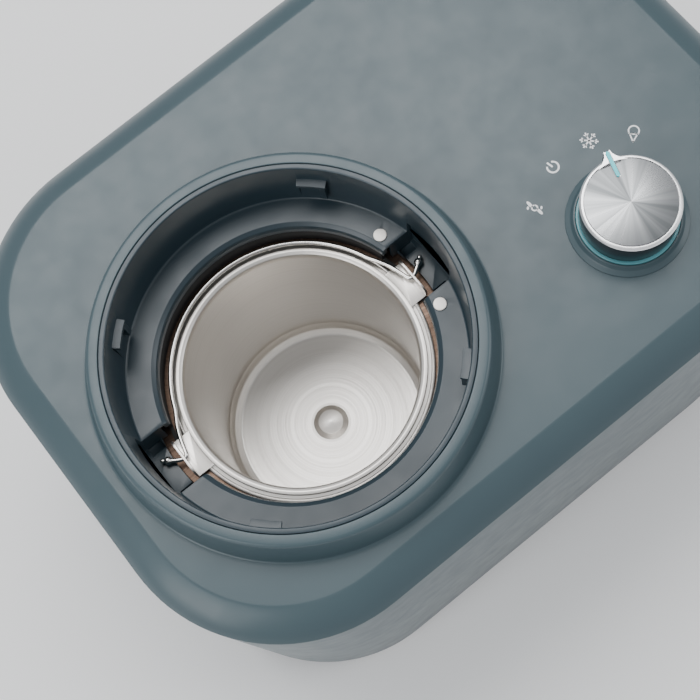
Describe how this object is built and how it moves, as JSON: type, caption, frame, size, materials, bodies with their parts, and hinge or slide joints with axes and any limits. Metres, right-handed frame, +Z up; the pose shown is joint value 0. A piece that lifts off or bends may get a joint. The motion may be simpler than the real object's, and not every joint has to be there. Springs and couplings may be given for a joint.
{
  "type": "compressor ice cream maker",
  "caption": "Worktop compressor ice cream maker with its lid off: lift-out metal bowl with a folded bail handle in a raised round well, and a turning selector knob.",
  "frame": {"origin": "on the surface that the feet stand on, below the middle of the body's plan", "axes": "+X along the length towards the control knob, +Y to the rear, +Z up; the bowl's axis is vertical at X -76 mm, Y -19 mm"},
  "size_m": [0.42, 0.306, 0.2412],
  "materials": {
    "teal_plastic": "satin blue-grey teal",
    "black_plastic": "fine grain",
    "base_plastic": "moulded, matt",
    "rubber": "matt",
    "bowl_aluminium": "satin, anodised",
    "can_aluminium": "turned",
    "steel": "zinc plated",
    "bail_steel": "drawn wire, polished",
    "copper": "drawn copper tube",
    "compressor_paint": "semi-gloss black",
    "foam": "rigid foam",
    "board": "solder mask",
    "lead": "cable sheath",
    "light_ring": "translucent teal",
    "knob_metal": "dark brushed",
    "knob_face": "radially spun",
    "pointer_cyan": "translucent cyan"
  },
  "bodies": {
    "base": {"housing_shell": "teal_plastic", "top_cover": "teal_plastic", "well_collar": "teal_plastic", "knob_bezel": "teal_plastic", "collar_screw_1": "steel", "collar_screw_2": "steel", "collar_screw_3": "steel", "collar_screw_4": "steel", "collar_gasket": "rubber", "contact_pin_rear": "steel", "contact_pin_front": "steel", "evaporator_can": "can_aluminium", "evaporator_coil": "copper", "insulation_cup": "foam", "well_sensor": "copper", "base_plate": "base_plastic", "foot_rear_right": "rubber", "foot_rear_left": "rubber", "foot_front_left": "rubber", "foot_front_right": "rubber", "base_screw_rear_right": "steel", "base_screw_rear_left": "steel", "base_screw_front_left": "steel", "base_screw_front_right": "steel", "compressor_body": "compressor_paint", "compressor_plate": "compressor_paint", "compressor_grommet_1": "rubber", "compressor_grommet_2": "rubber", "compressor_grommet_3": "rubber", "compressor_bolt_1": "steel", "compressor_bolt_2": "steel", "compressor_bolt_3": "steel", "compressor_cap": "black_plastic", "condenser_tube": "copper", "condenser_grid": "steel", "filter_drier": "copper", "discharge_tube": "copper", "capillary_tube": "copper", "suction_tube": "copper", "fan_frame": "black_plastic", "fan_bracket": "steel", "fan_motor": "copper", "power_board": "board", "control_board": "board", "rotary_encoder": "steel", "mains_inlet": "black_plastic", "inlet_pin_line": "steel", "inlet_pin_neutral": "steel", "inlet_pin_earth": "steel", "mains_lead": "lead", "contact_lead_rear": "lead", "contact_lead_front": "lead", "light_ring": "light_ring"},
    "knob": {"encoder_shaft": "steel", "knob_body": "knob_metal", "knob_disc": "knob_face", "knob_pointer": "pointer_cyan"},
    "bowl": {"bowl": "bowl_aluminium"},
    "bail": {"bail_handle": "bail_steel"},
    "fan": {"fan_rotor": "black_plastic"}
  },
  "joints": [
    {"name": "selector_turn", "type": "hinge", "parent": "base", "child": "knob", "pos_m": [0.1047, -0.0766, 0.2411], "axis": [0, 0, 1], "range_deg": [-28.4, 59]},
    {"name": "bowl_lift", "type": "slide", "parent": "base", "child": "bowl", "axis": [0, 0, 1], "range_m": [0, 0.21]},
    {"name": "bail_swing", "type": "hinge", "parent": "bowl", "child": "bail", "pos_m": [-0.076, -0.019, 0.1855], "axis": [1, 0, 0], "range_deg": [0, 180]},
    {"name": "fan_spin", "type": "hinge", "parent": "base", "child": "fan", "pos_m": [0.155, 0, 0.072], "axis": [1, 0, 0], "continuous": true}
  ]
}
